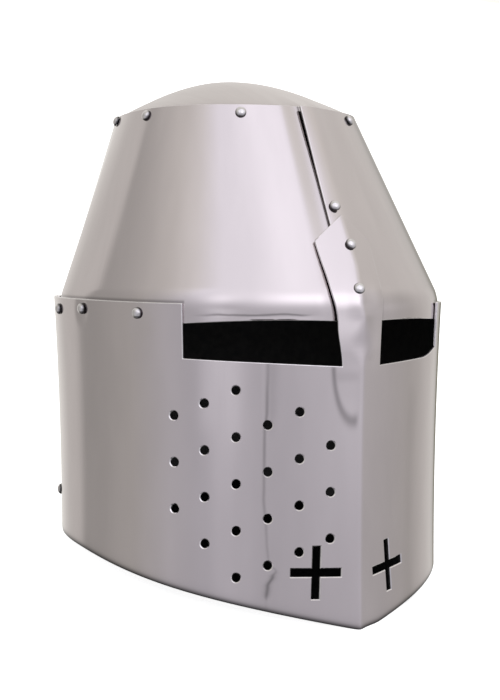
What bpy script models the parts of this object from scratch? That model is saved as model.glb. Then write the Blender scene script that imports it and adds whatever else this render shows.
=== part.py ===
"""Great helm of sheet steel: a domed crown plate, a wrapped skull plate, a pierced face plate that runs up
into a nasal bar, a nape plate, and the round-headed rivets that hold them.

Metres, +Z up, the face toward -Y. The plates are drawn in the helm's own upright frame, whose zero height is
the upper edge of the sights, and one empty leans that frame back, the way the helm rests on its lower edge.
"Right" and "left" are the wearer's: the wearer's right is -X."""
import math

import bmesh
import bpy
from mathutils import Matrix, Vector

# Sheet
PLATE = 0.0016
GAP = 0.0003
LAYER = PLATE + GAP

# Plan outline of the lower plates at the height of the sights
HALF_WIDTH = 0.110
FRONT_Y = -0.130
REAR_Y = 0.103
WIDEST_Y = 0.002
KEEL_SLOPE = math.radians(17)
KEEL_PULL = 0.069
SIDE_PULL = 0.0885

# The lower plates draw in below the sights, faster at first, and lean a little
TAPER = 0.445
TAPER_GROWTH = 1.8
LOWER_LEAN = -0.015

# Plan outline of the rim at the top of the skull plate, turned a little toward the wearer's left
RIM_Z = 0.1215
RIM_HALF_WIDTH = 0.068
RIM_FRONT_Y = -0.068
RIM_REAR_Y = 0.091
RIM_WIDEST_Y = -0.002
RIM_KEEL_SLOPE = math.radians(15.5)
RIM_KEEL_PULL = 0.040
RIM_SIDE_PULL = 0.0405
RIM_TURN = math.radians(3)
RIM_LEAN = 0.016

# Skull plate: upright collar, soft bend, then the cone
COLLAR_TOP = 0.0085
BEND_Z = 0.0135
CONE_START = 0.0190
BEND_ROWS = [COLLAR_TOP, 0.5 * (COLLAR_TOP + CONE_START), CONE_START]
COLLAR_BOW = 0.0013
LAP = 0.0089
LAP_AT_RIM = 0.0067
LAP_LIFT = 0.0014
LAP_LIFT_REACH = 0.030
LAP_RIVET_H = 0.0630
UNDERLAP = 0.012
DIP = (0.010, 0.024)

# Crown plate: a shallow dome turned down inside the rim, and one layer deeper inside the lap
DOME_RISE = 0.0212
DOME_POWER = 1.9
DOME_RINGS = (0.86, 0.68, 0.48, 0.26, 0.0)
FLANGE = 0.013
FLANGE_TURN = 0.0015
LAP_STEP_RIGHT = (-0.030, -0.014)
LAP_STEP_LEFT = (0.016, 0.030)

# Lower edge of the face and nape plates, as a curve along the outline
CHIN_Z = -0.1629
CHIN_RISE = (0.222, 0.21, -1.6)
LEFT_SAG = 0.0017
LEFT_SAG_S = (0.002, 0.018)
TOP_EDGE_Z = 0.0141
TOP_EDGE_RISE = 0.041
SEAM_S = 0.2340
SEAM_LAP = 0.0095
SEAM_STEP = (0.211, 0.223)

# Sights and nasal bar
SIGHT_RIGHT = 0.0967
SIGHT_LEFT = 0.0820
SIGHT_LOWER_Z = -0.0235
SIGHT_LOWER_RISE = 0.0565
SIGHT_LEFT_LIFT = 0.0045
SIGHT_LEFT_LIFT_S = (0.060, 0.088)
BAR_SPREAD = 0.33
BAR_FLARE_H = 0.018
BAR_SHOULDER_H = 0.0440
BAR_TIP_H = 0.0582
BAR_RIGHT = {"sight": 0.0118, "brow": 0.0147, "flare": 0.0172, "shoulder": 0.0186}
BAR_LEFT = {"sight": 0.0145, "brow": 0.0148, "flare": 0.0148, "shoulder": 0.0169}

# Breaths, on the wearer's right only: columns counted from the keel
BREATH_RADIUS = 0.0024
BREATH_SIDES = 12
BREATH_PITCH = 0.0171
BREATH_DROP = 0.02455
BREATH_COLUMNS = [
    # top hole's height, holes
    (-0.0643, 3),
    (-0.0464, 4),
    (-0.0530, 4),
    (-0.0347, 5),
    (-0.0415, 4),
    (-0.0480, 3),
]
CROSS_S = 0.0249
CROSS_Z = -0.1312
CROSS_REACH = 0.0140
CROSS_ARM = 0.0044
CROSS_TURN_RIGHT = math.radians(-1.7)
CROSS_TURN_LEFT = math.radians(6.6)
PIERCING_CUT = 0.005

# Rivets
HEAD_RADIUS = 0.0031
HEAD_RISE = 0.0023
SHANK_RADIUS = 0.0016
PEEN_RADIUS = 0.0025
PEEN_RISE = 0.0009
RIVET_SIDES = 8
HOLE_CLEARANCE = 0.0003
HOLE_CUT = 0.008
SEAT = 0.0003
KEEL_STANDOFF = 0.0015

# Where the rivets are: round the rim as shares of half its length, elsewhere along the outline, and
# their height. The upper nasal rivet sits astride the keel.
RIM_RIVETS = (
    (-0.164, 0.1164),
    (-0.417, 0.1170),
    (-0.606, 0.1180),
    (1.0, 0.1156),
    (0.74, 0.1156),
    (0.46, 0.1156),
    (0.178, 0.1165),
)
LAP_RIVET_S = -0.0015
NASAL_RIVETS = ((0.0, 0.0416), (-0.0025, 0.0174))
BROW_RIVETS = ((0.1240, 0.0057), (0.1717, 0.0082), (0.2040, 0.0081))
SEAM_RIVET_Z = -0.0985
NAPE_RIVETS = (0.252, 0.305)
NAPE_RIVET_Z = 0.0060

# Rest: the plane through the chin point and the back of the nape plate's lower edge
REST_SLOPE = 0.27
CHIN_FLAT = 0.0004
NAPE_DROP_S = (0.240, 0.272)
TRIM = 0.0015
REST_Y = -0.141786
FLOOR_BLOCK = 0.6

# How finely the sheets are divided
COLUMN = 0.0095
CROWN_COLUMN = 0.0146
NAPE_COLUMN = 0.0105
CONE_ROW = 0.036
ARC = 0.5523
OUTLINE_STEPS = 60


def smooth(value, low, high):
    """0 below low, 1 above high, and an even S between."""
    t = min(1.0, max(0.0, (value - low) / (high - low)))
    return t * t * (3.0 - 2.0 * t)


def spread(start, end, step=COLUMN):
    """Equal steps from start to end, both kept, none longer than step."""
    count = max(1, math.ceil(abs(end - start) / step - 1e-6))
    return [start + (end - start) * i / count for i in range(count + 1)]


def walk_through(stops, step=COLUMN):
    """Steps through a list of stops, keeping every stop."""
    walk = [stops[0]]
    for start, end in zip(stops, stops[1:]):
        walk += spread(start, end, step)[1:]
    return walk


def bezier(a, b, c, d):
    points = []
    for i in range(OUTLINE_STEPS + 1):
        t = i / OUTLINE_STEPS
        r = 1.0 - t
        points.append(a * r ** 3 + b * 3 * r * r * t + c * 3 * r * t * t + d * t ** 3)
    return points


class Outline:
    """A plan outline with a keel at its front, walked by arc length.

    The length is 0 at the keel and minus on the wearer's right.
    """

    def __init__(self, front_y, slope, pull, half_width, widest_y, side_pull, rear_y):
        side = Vector((half_width, widest_y))
        keel_hand = Vector((pull * math.cos(slope), front_y + pull * math.sin(slope)))
        flank = bezier(Vector((0, front_y)), keel_hand, side - Vector((0, side_pull)), side)
        depth = rear_y - widest_y
        round_back = bezier(side, side + Vector((0, ARC * depth)), Vector((ARC * half_width, rear_y)),
                            Vector((0, rear_y)))
        self.points = flank + round_back[1:]
        self.along = [0.0]
        for before, after in zip(self.points, self.points[1:]):
            self.along.append(self.along[-1] + (after - before).length)
        self.length = self.along[-1]
        self.miter = 1.0 / math.cos(slope)

    def at(self, s):
        reach = min(abs(s), self.length)
        i = 0
        while i < len(self.along) - 2 and self.along[i + 1] < reach:
            i += 1
        t = (reach - self.along[i]) / (self.along[i + 1] - self.along[i])
        point = self.points[i].lerp(self.points[i + 1], t)
        return Vector((math.copysign(point.x, s), point.y))

    def normal(self, s):
        """Outward, and long enough at the keel for both flanks to keep their distance."""
        if abs(s) < 1e-6:
            return Vector((0.0, -self.miter))
        if self.length - abs(s) < 1e-6:
            return Vector((0.0, 1.0))
        step = min(0.001, abs(s), self.length - abs(s))
        along = self.at(abs(s) + step) - self.at(abs(s) - step)
        across = Vector((along.y, -along.x)).normalized()
        return Vector((math.copysign(across.x, s) if abs(across.x) > 1e-9 else 0.0, across.y))


LOWER = Outline(FRONT_Y, KEEL_SLOPE, KEEL_PULL, HALF_WIDTH, WIDEST_Y, SIDE_PULL, REAR_Y)
rim_shape = (RIM_FRONT_Y, RIM_KEEL_SLOPE, RIM_KEEL_PULL, RIM_HALF_WIDTH, RIM_WIDEST_Y, RIM_SIDE_PULL)
RIM = Outline(*rim_shape, RIM_REAR_Y)
ROUND = 2.0 * LOWER.length


def inset(s):
    """How far the collar lies inside the face plate's outer side: one layer, and two behind the seams."""
    return LAYER * (1.0 + smooth(abs(s), *SEAM_STEP))


def wall(s, z, out=0.0):
    """A point of the lower plates' outer side, moved outward by out."""
    plan = LOWER.at(s)
    normal = LOWER.normal(s)
    scale = 1.0 + TAPER * z + TAPER_GROWTH * z * z
    middle = 0.5 * (FRONT_Y + REAR_Y)
    y = middle + scale * (plan.y - middle) + LOWER_LEAN * z
    return Vector((scale * plan.x + normal.x * out, y + normal.y * out, z))


def rim(s):
    """The rim's point that stands over the point s of the lower outline."""
    plan = RIM.at(s / LOWER.length * RIM.length)
    middle = 0.5 * (RIM_FRONT_Y + RIM_REAR_Y)
    from_middle = Vector((plan.x, plan.y - middle))
    turned = Matrix.Rotation(RIM_TURN, 2) @ from_middle
    return Vector((turned.x, turned.y + middle, RIM_Z + RIM_LEAN * turned.y))


def skull_base(s, h):
    """The skull plate's outer side at height h: collar, bend and cone."""
    if h <= COLLAR_TOP:
        return wall(s, h, -inset(s))
    corner = wall(s, BEND_Z, -inset(s))
    top = rim(s)
    if h >= CONE_START:
        return corner.lerp(top, (h - BEND_Z) / (RIM_Z - BEND_Z))
    t = (h - COLLAR_TOP) / (CONE_START - COLLAR_TOP)
    low = wall(s, COLLAR_TOP, -inset(s))
    high = corner.lerp(top, (CONE_START - BEND_Z) / (RIM_Z - BEND_Z))
    return low.lerp(corner, t).lerp(corner.lerp(high, t), t)


def skull_normal(s, h):
    step = 0.0008
    if LOWER.length - abs(s) < step:
        along = skull_base(step - LOWER.length, h) - skull_base(LOWER.length - step, h)
    elif abs(s) < 1e-6:
        along = skull_base(step, h) - skull_base(-step, h)
    elif s > 0:
        along = skull_base(s + step, h) - skull_base(max(s - step, 1e-6), h)
    else:
        along = skull_base(min(s + step, -1e-6), h) - skull_base(s - step, h)
    up = skull_base(s, h + step) - skull_base(s, h - step)
    return along.cross(up).normalized()


def skull(s, h, out=0.0):
    """A point of the skull plate, moved outward at its own height until it is out away from the surface."""
    normal = skull_normal(s, h)
    level = Vector((normal.x, normal.y, 0.0))
    miter = LOWER.miter if abs(s) < 1e-6 else 1.0
    return skull_base(s, h) + level.normalized() * (out * miter / level.length)


def chin_edge(s):
    """Height of the lower edge. It hangs a little lower on the left. Behind the seams it drops to the plane
    that the helm rests on."""
    reach = abs(s)
    rise, growth, fade = CHIN_RISE
    edge = CHIN_Z + rise * reach + growth * reach ** 2 + fade * reach ** 3 - LEFT_SAG * smooth(s, *LEFT_SAG_S)
    drop = smooth(reach, *NAPE_DROP_S)
    return edge + drop * (rest_height(wall(reach, edge).y) - TRIM - edge)


def rest_height(y):
    """Height of the resting plane in the helm's frame."""
    chin_y = wall(0.0, CHIN_Z).y
    return CHIN_Z + CHIN_FLAT + REST_SLOPE * (y - chin_y)


def top_edge(s):
    return TOP_EDGE_Z + TOP_EDGE_RISE * LOWER.at(s).y


def sight_edge(s):
    """Height of the sights' lower edge."""
    reach = min(abs(s), SIGHT_RIGHT)
    lift = SIGHT_LEFT_LIFT * smooth(s, *SIGHT_LEFT_LIFT_S)
    return SIGHT_LOWER_Z + SIGHT_LOWER_RISE * reach + (lift if s < SIGHT_LEFT + 0.001 else 0.0)


def collar_edge(s):
    return COLLAR_BOW * math.sin(math.pi * min(1.0, abs(s) / SIGHT_RIGHT))


def bar_half(widths, h):
    """The nasal bar's reach from the keel to one edge at height h."""
    sight = widths["sight"] + (widths["brow"] - widths["sight"]) * smooth(h, SIGHT_LOWER_Z, 0.0)
    flare = sight + (widths["flare"] - widths["brow"]) * smooth(h, 0.0, BAR_FLARE_H)
    return flare + (widths["shoulder"] - widths["flare"]) * smooth(h, BAR_FLARE_H, BAR_SHOULDER_H)


def bar_point(across, h):
    """A point of the nasal bar's outer side: across runs from -1 at its right edge to 1 at its left."""
    half = bar_half(BAR_RIGHT if across < 0 else BAR_LEFT, h)
    spread_out = 1.0 + BAR_SPREAD * max(0.0, h) / RIM_Z
    return skull(across * half * spread_out, h, LAYER)


def add_grid(mesh, rows):
    """Faces between rows of points, given bottom first and left to right as seen from outside."""
    lines = [[mesh.verts.new(point) for point in row] for row in rows]
    for low, high in zip(lines, lines[1:]):
        for i in range(len(low) - 1):
            mesh.faces.new((low[i], low[i + 1], high[i + 1], high[i]))
    return lines


def new_object(name, mesh, collection, parent=None):
    thing = bpy.data.objects.new(name, mesh)
    collection.objects.link(thing)
    thing.parent = parent
    return thing


def mesh_from(sheet, name):
    bmesh.ops.remove_doubles(sheet, verts=sheet.verts, dist=0.00002)
    mesh = bpy.data.meshes.new(name)
    sheet.to_mesh(mesh)
    sheet.free()
    return mesh


def add_plate(name, sheet, material, collection, frame, cutters=()):
    """A plate is a sheet drawn on its outer side, thickened inward and then cut."""
    plate = new_object(name, mesh_from(sheet, name), collection, frame)
    plate.data.materials.append(material)
    thicken = plate.modifiers.new("thickness", "SOLIDIFY")
    thicken.thickness = PLATE
    thicken.offset = -1.0
    thicken.use_even_offset = True
    for cutter in cutters:
        cut = plate.modifiers.new(cutter.name, "BOOLEAN")
        cut.operation = "DIFFERENCE"
        cut.solver = "EXACT"
        cut.object = cutter
    plate.data.shade_smooth()
    plate.data.set_sharp_from_angle(angle=math.radians(30))
    return plate


def steel(name, colour, roughness):
    material = bpy.data.materials.new(name)
    material.use_nodes = True
    surface = material.node_tree.nodes["Principled BSDF"]
    surface.inputs["Base Color"].default_value = (*colour, 1.0)
    surface.inputs["Metallic"].default_value = 1.0
    surface.inputs["Roughness"].default_value = roughness
    return material


def frame_on(point, normal, turn=0.0):
    """A frame with +Z along the normal and +Y up the plate, turned about the normal."""
    z = normal.normalized()
    x = Vector((0.0, 0.0, 1.0)).cross(z).normalized()
    y = z.cross(x)
    facing = Matrix((x, y, z)).transposed().to_4x4()
    return Matrix.Translation(point) @ facing @ Matrix.Rotation(turn, 4, "Z")


def wall_frame(s, z, turn=0.0, out=0.0):
    step = 0.002
    along = wall(s + step, z) - wall(s - step, z)
    up = wall(s, z + step) - wall(s, z - step)
    normal = along.cross(up).normalized()
    if abs(s) > LOWER.length - step:
        normal = Vector((0.0, 1.0, 0.0))
    return frame_on(wall(s, z) + normal * out, normal, turn)


def skull_frame(s, h, out=0.0):
    return frame_on(skull(s, h, out), skull_normal(s, h))


def add_prism(mesh, outline, height, placed):
    """A straight prism through a plate, from an outline listed counter-clockwise."""
    low = [mesh.verts.new(placed @ Vector((x, y, -height))) for x, y in outline]
    high = [mesh.verts.new(placed @ Vector((x, y, height))) for x, y in outline]
    mesh.faces.new(list(reversed(low)))
    mesh.faces.new(high)
    for i in range(len(outline)):
        j = (i + 1) % len(outline)
        mesh.faces.new((low[i], low[j], high[j], high[i]))


def ring(radius, sides):
    return [(radius * math.cos(2 * math.pi * i / sides), radius * math.sin(2 * math.pi * i / sides))
            for i in range(sides)]


def cross_outline(reach, arm):
    half = 0.5 * arm
    quarter = [(reach, -half), (reach, half), (half, half)]
    outline = []
    for turn in range(4):
        for x, y in quarter:
            for _ in range(turn):
                x, y = -y, x
            outline.append((x, y))
    return outline


def cutter_object(name, mesh, collection, frame):
    cutter = new_object(name, mesh_from(mesh, name), collection, frame)
    cutter.hide_render = True
    cutter.display_type = "WIRE"
    return cutter


def skull_sheet():
    """One sheet that goes once round. Its left end lies on top, just past the keel, over its right end, which
    dips one layer on its way under."""
    near, far = SEAM_STEP
    dip_end, dip_start = DIP
    stops = [0.0, near, far, LOWER.length, ROUND - far, ROUND - near]
    stops += [ROUND - dip_start, ROUND - dip_end, ROUND]
    walk = [-LAP] + walk_through(stops) + [ROUND + UNDERLAP]
    rows = []
    for level in [None] + BEND_ROWS + spread(CONE_START, RIM_Z, CONE_ROW)[1:]:
        row = []
        for at in walk:
            s = at if at <= LOWER.length else at - ROUND
            h = collar_edge(s) if level is None else level
            if at == -LAP:
                s = -(LAP + (LAP_AT_RIM - LAP) * max(0.0, h) / RIM_Z)
            lift = LAP_LIFT * smooth(h, LAP_RIVET_H, RIM_Z) * (1.0 - smooth(at, 0.0, LAP_LIFT_REACH))
            dip = LAYER * smooth(at, ROUND - dip_start, ROUND - dip_end)
            row.append(skull(s, h, lift - dip))
        rows.append(row)
    sheet = bmesh.new()
    add_grid(sheet, rows)
    return sheet


def crown_sheet():
    """A shallow dome whose edge is turned down inside the rim, one layer deeper beside the lap."""
    stops = [-LOWER.length, *LAP_STEP_RIGHT, 0.0, *LAP_STEP_LEFT, LOWER.length]
    around = walk_through(stops, CROWN_COLUMN)
    inside = [-LAYER * (1.0 + smooth(s, *LAP_STEP_RIGHT) * (1.0 - smooth(s, *LAP_STEP_LEFT))) for s in around]
    rows = []
    for below in (FLANGE, FLANGE_TURN, 0.0):
        rows.append([skull(s, RIM_Z - below, out) for s, out in zip(around, inside)])
    edge = rows[-1]
    centre = Vector((0.0, 0.5 * (RIM_FRONT_Y + RIM_REAR_Y), 0.0))
    for share in DOME_RINGS:
        row = []
        for point in edge:
            place = centre.lerp(Vector((point.x, point.y, 0.0)), share)
            place.z = RIM_Z + (point.z - RIM_Z) * share + DOME_RISE * (1.0 - share ** DOME_POWER)
            row.append(place)
        rows.append(row)
    sheet = bmesh.new()
    add_grid(sheet, rows)
    bmesh.ops.dissolve_degenerate(sheet, dist=0.00005, edges=sheet.edges)
    return sheet


def face_sheet():
    """The face plate: body, the side parts that rise behind the sights, and the nasal bar."""
    end = SEAM_S + SEAM_LAP
    bar_columns = [-1.0, -0.5, 0.0, 0.5, 1.0]
    bar_feet = [across * (BAR_RIGHT if across < 0 else BAR_LEFT)["sight"] for across in bar_columns]
    right_side = walk_through([-end, -SIGHT_RIGHT])
    left_side = walk_through([SIGHT_LEFT, end])
    columns = walk_through([-end, -SIGHT_RIGHT] + bar_feet + [SIGHT_LEFT, end])
    sheet = bmesh.new()
    body = []
    for share in (0.0, 0.25, 0.5, 0.75, 1.0):
        body.append([wall(s, chin_edge(s) + share * (sight_edge(s) - chin_edge(s))) for s in columns])
    add_grid(sheet, body)
    for side in (right_side, left_side):
        rows = []
        for share in (0.0, 0.5, 1.0):
            rows.append([wall(s, sight_edge(s) + share * (top_edge(s) - sight_edge(s))) for s in side])
        add_grid(sheet, rows)
    bar = [[wall(s, sight_edge(s)) for s in bar_feet]]
    for h in [0.5 * SIGHT_LOWER_Z, 0.0] + BEND_ROWS + [0.5 * (CONE_START + BAR_SHOULDER_H)]:
        bar.append([bar_point(across, h) for across in bar_columns])
    tip_drop = BAR_SHOULDER_H - BAR_TIP_H
    bar.append([bar_point(across, BAR_TIP_H + tip_drop * abs(across)) for across in bar_columns])
    add_grid(sheet, bar)
    return sheet


def nape_sheet():
    """The nape plate, whose front edges lie under the face plate's."""
    start = SEAM_S - SEAM_LAP
    walk = walk_through([start, LOWER.length, ROUND - start], NAPE_COLUMN)
    rows = []
    for share in (0.0, 0.34, 0.67, 1.0):
        row = []
        for at in walk:
            s = at if at <= LOWER.length else at - ROUND
            low = chin_edge(s)
            row.append(wall(s, low + share * (top_edge(s) - low), -LAYER))
        rows.append(row)
    sheet = bmesh.new()
    add_grid(sheet, rows)
    return sheet


def rivet_mesh(grip):
    """A round head, a shank as long as the grip and a peened end, turned about +Z."""
    profile = []
    for i in range(4):
        angle = math.radians(90 - 28 * i)
        profile.append((HEAD_RADIUS * math.cos(angle), HEAD_RISE * math.sin(angle)))
    profile[0] = (0.0, HEAD_RISE)
    profile += [(HEAD_RADIUS, 0.0), (SHANK_RADIUS, 0.0), (SHANK_RADIUS, -grip), (PEEN_RADIUS, -grip)]
    profile += [(0.7 * PEEN_RADIUS, -grip - PEEN_RISE), (0.0, -grip - PEEN_RISE)]
    mesh = bpy.data.meshes.new("rivet")
    edges = [(i, i + 1) for i in range(len(profile) - 1)]
    mesh.from_pydata([(x, 0.0, z) for x, z in profile], edges, [])
    return mesh


def add_rivet(name, placed, grip, material, collection, frame):
    rivet = new_object(name, rivet_mesh(grip), collection, frame)
    rivet.data.materials.append(material)
    rivet.matrix_local = placed @ Matrix.Translation((0.0, 0.0, SEAT))
    turn = rivet.modifiers.new("turned", "SCREW")
    turn.steps = RIVET_SIDES
    turn.render_steps = RIVET_SIDES
    turn.use_merge_vertices = True
    turn.merge_threshold = 0.00005
    turn.use_smooth_shade = True
    return rivet


def rivet_list():
    """Every rivet: name, frame on the outermost plate, plates under its head, its peened end's stand-off."""
    rivets = []
    for i, (turn, h) in enumerate(RIM_RIVETS):
        rivets.append((f"rim_rivet_{i + 1}", skull_frame(turn * LOWER.length, h), 2, 0.0))
    rivets.append(("lap_rivet", skull_frame(LAP_RIVET_S, LAP_RIVET_H), 2, KEEL_STANDOFF))
    for i, (s, h) in enumerate(NASAL_RIVETS):
        rivets.append((f"nasal_rivet_{i + 1}", skull_frame(s, h, LAYER), 3, KEEL_STANDOFF))
    for side, name in ((-1, "right"), (1, "left")):
        for i, (s, z) in enumerate(BROW_RIVETS):
            rivets.append((f"brow_rivet_{name}_{i + 1}", wall_frame(side * s, z), 2, 0.0))
        rivets.append((f"seam_rivet_{name}", wall_frame(side * SEAM_S, SEAM_RIVET_Z), 2, 0.0))
        for i, s in enumerate(NAPE_RIVETS):
            placed = wall_frame(side * s, NAPE_RIVET_Z, out=-LAYER)
            rivets.append((f"nape_rivet_{name}_{i + 1}", placed, 2, 0.0))
    return rivets


def build():
    for thing in list(bpy.data.objects):
        bpy.data.objects.remove(thing, do_unlink=True)
    parts = bpy.data.collections.new("great_helm")
    tools = bpy.data.collections.new("great_helm_cutters")
    for collection in (parts, tools):
        bpy.context.scene.collection.children.link(collection)

    lean = math.atan(REST_SLOPE)
    frame = new_object("helm_frame", None, parts)
    frame.rotation_euler = (-lean, 0.0, 0.0)
    chin = Vector((0.0, wall(0.0, CHIN_Z).y, CHIN_Z + CHIN_FLAT))
    leaned = Matrix.Rotation(-lean, 3, "X") @ chin
    frame.location = (0.0, REST_Y - leaned.y, -leaned.z)

    plate_steel = steel("brushed steel", (0.56, 0.54, 0.53), 0.30)
    crown_steel = steel("brushed steel, crown", (0.60, 0.58, 0.57), 0.32)
    rivet_steel = steel("polished steel", (0.62, 0.61, 0.60), 0.20)

    holes = bmesh.new()
    rivets = rivet_list()
    for _, placed, _, _ in rivets:
        add_prism(holes, ring(SHANK_RADIUS + HOLE_CLEARANCE, RIVET_SIDES), HOLE_CUT, placed)
    rivet_holes = cutter_object("rivet_holes", holes, tools, frame)

    pierced = bmesh.new()
    for column, (top, count) in enumerate(BREATH_COLUMNS):
        for row in range(count):
            placed = wall_frame(-(column + 1) * BREATH_PITCH, top - row * BREATH_DROP)
            add_prism(pierced, ring(BREATH_RADIUS, BREATH_SIDES), PIERCING_CUT, placed)
    for side, turn in ((-1, CROSS_TURN_RIGHT), (1, CROSS_TURN_LEFT)):
        placed = wall_frame(side * CROSS_S, CROSS_Z, turn)
        add_prism(pierced, cross_outline(CROSS_REACH, CROSS_ARM), PIERCING_CUT, placed)
    breaths = cutter_object("breaths_and_crosses", pierced, tools, frame)

    floor = bmesh.new()
    bmesh.ops.create_cube(floor, size=FLOOR_BLOCK)
    bmesh.ops.translate(floor, verts=floor.verts, vec=(0.0, 0.0, -0.5 * FLOOR_BLOCK))
    floor_cutter = cutter_object("resting_plane", floor, tools, None)

    add_plate("crown_plate", crown_sheet(), crown_steel, parts, frame, [rivet_holes])
    add_plate("skull_plate", skull_sheet(), plate_steel, parts, frame, [rivet_holes])
    add_plate("face_plate", face_sheet(), plate_steel, parts, frame, [rivet_holes, breaths, floor_cutter])
    add_plate("nape_plate", nape_sheet(), plate_steel, parts, frame, [rivet_holes, floor_cutter])
    for name, placed, plates, standoff in rivets:
        grip = plates * LAYER - GAP + 2 * SEAT + standoff
        add_rivet(name, placed, grip, rivet_steel, parts, frame)


build()
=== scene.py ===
"""Great helm in brushed steel, dressed for a still: fine-meshed plates with filed edges, dents and creases,
turned rivet heads, a pale floor and soft studio light. Metres, +Z up, the face toward -Y."""
import bisect
import math

import bmesh
import bpy
from mathutils import Matrix, Vector


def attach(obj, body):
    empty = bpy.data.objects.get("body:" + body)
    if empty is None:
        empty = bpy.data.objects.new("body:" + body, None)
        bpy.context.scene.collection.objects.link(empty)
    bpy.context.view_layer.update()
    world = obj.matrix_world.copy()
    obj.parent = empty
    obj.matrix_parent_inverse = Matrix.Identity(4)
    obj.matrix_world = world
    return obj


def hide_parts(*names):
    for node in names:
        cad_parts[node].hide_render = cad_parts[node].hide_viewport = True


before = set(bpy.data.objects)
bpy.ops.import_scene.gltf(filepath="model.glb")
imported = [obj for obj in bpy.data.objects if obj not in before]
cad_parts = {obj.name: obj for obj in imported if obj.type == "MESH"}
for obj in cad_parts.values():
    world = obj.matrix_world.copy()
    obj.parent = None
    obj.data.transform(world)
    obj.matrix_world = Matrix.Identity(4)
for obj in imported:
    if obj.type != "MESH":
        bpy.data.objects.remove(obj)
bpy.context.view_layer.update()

# A place on the helm is given in its own upright frame: s is the way round it from the keel, minus on the
# wearer's right, and z or h is the height over the upper edge of the sights

# Sheet
PLATE = 0.0016
GAP = 0.0003
LAYER = PLATE + GAP
EDGE = 0.0005
FILED_ANGLE = math.radians(50)

# How far the hands of a Bezier curve reach to draw a quarter of an ellipse
ARC = 0.5523

# Plan outline of the lower plates at the height of the sights
HALF_WIDTH = 0.110
FRONT_Y = -0.130
REAR_Y = 0.103
WIDEST_Y = 0.002
KEEL_SLOPE = math.radians(17)
KEEL_PULL = 0.069
SIDE_PULL = 0.0885
TAPER = 0.445
TAPER_GROWTH = 1.8
LOWER_LEAN = -0.015

# Plan outline of the rim
RIM_Z = 0.1215
RIM_HALF_WIDTH = 0.068
RIM_FRONT_Y = -0.068
RIM_REAR_Y = 0.091
RIM_WIDEST_Y = -0.002
RIM_KEEL_SLOPE = math.radians(15.5)
RIM_KEEL_PULL = 0.040
RIM_SIDE_PULL = 0.0405
RIM_TURN = math.radians(3)
RIM_LEAN = 0.016

# Skull plate. Its bend from collar to cone starts 3 mm lower than in the solids, and is softer
COLLAR_TOP = 0.0055
BEND_Z = 0.0135
CONE_START = 0.0190
COLLAR_BOW = 0.0013
LIP_H = 0.0034
LIP_OUT = 0.00022
LIP_S = (0.020, 0.032, 0.078, 0.092)
LAP = 0.0089
LAP_AT_RIM = 0.0067
LAP_LIFT = 0.0014
LAP_LIFT_REACH = 0.030
LAP_RIVET_H = 0.0630
UNDERLAP = 0.012
DIP = (0.010, 0.024)

# Crown plate
DOME_RISE = 0.0212
DOME_POWER = 1.9
DOME_EVEN_REACH = 9
DOME_EVEN_FROM = 0.72
FLANGE = 0.013
LAP_STEP_RIGHT = (-0.030, -0.014)
LAP_STEP_LEFT = (0.016, 0.030)

# Face and nape plates
CHIN_Z = -0.1629
CHIN_RISE = (0.222, 0.21, -1.6)
LEFT_SAG = 0.0017
LEFT_SAG_S = (0.002, 0.018)
TOP_EDGE_Z = 0.0141
TOP_EDGE_RISE = 0.041
SEAM_S = 0.2340
SEAM_LAP = 0.0095
SEAM_STEP = (0.211, 0.223)

# Sights and nasal bar
SIGHT_RIGHT = 0.0967
SIGHT_LEFT = 0.0820
SIGHT_LOWER_Z = -0.0235
SIGHT_LOWER_RISE = 0.0565
SIGHT_LEFT_LIFT = 0.0045
SIGHT_LEFT_LIFT_S = (0.060, 0.088)
SIGHT_MARGIN = 0.001
BAR_SPREAD = 0.33
BAR_FLARE_H = 0.018
BAR_SHOULDER_H = 0.0440
BAR_TIP_H = 0.0582
BAR_RIGHT = {"sight": 0.0118, "brow": 0.0147, "flare": 0.0172, "shoulder": 0.0186}
BAR_LEFT = {"sight": 0.0145, "brow": 0.0148, "flare": 0.0148, "shoulder": 0.0169}

# Breaths and crosses
BREATH_RADIUS = 0.0024
BREATH_PITCH = 0.0171
BREATH_DROP = 0.02455
BREATH_COLUMNS = [
    # top hole's height, holes
    (-0.0643, 3),
    (-0.0464, 4),
    (-0.0530, 4),
    (-0.0347, 5),
    (-0.0415, 4),
    (-0.0480, 3),
]
CROSS_S = 0.0249
CROSS_Z = -0.1312
CROSS_REACH = 0.0140
CROSS_ARM = 0.0044
CROSS_TURN_RIGHT = math.radians(-1.7)
CROSS_TURN_LEFT = math.radians(6.6)
CROSS_PARTS = 5
PIERCING_CUT = 0.005
MOUTH = 0.0005

# Rivets
HEAD_RADIUS = 0.0031
HEAD_RISE = 0.0023
HEAD_POINTS = 10
HEAD_POINT_DEGREES = 9.5
SHANK_RADIUS = 0.0016
PEEN_RADIUS = 0.0025
PEEN_RISE = 0.0009
HOLE_CLEARANCE = 0.0003
HOLE_CUT = 0.008
SEAT = 0.0003
KEEL_STANDOFF = 0.0015
RIM_RIVETS = (
    (-0.164, 0.1164),
    (-0.417, 0.1170),
    (-0.606, 0.1180),
    (1.0, 0.1156),
    (0.74, 0.1156),
    (0.46, 0.1156),
    (0.178, 0.1165),
)
LAP_RIVET_S = -0.0015
NASAL_RIVETS = ((0.0, 0.0416), (-0.0025, 0.0174))
BROW_RIVETS = ((0.1240, 0.0057), (0.1717, 0.0082), (0.2040, 0.0081))
SEAM_RIVET_Z = -0.0985
NAPE_RIVETS = (0.252, 0.305)
NAPE_RIVET_Z = 0.0060

# Rest
REST_SLOPE = 0.27
CHIN_FLAT = 0.0004
NAPE_DROP_S = (0.240, 0.272)
TRIM = 0.0015
REST_Y = -0.141786
FLOOR_BLOCK = 0.6

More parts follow.
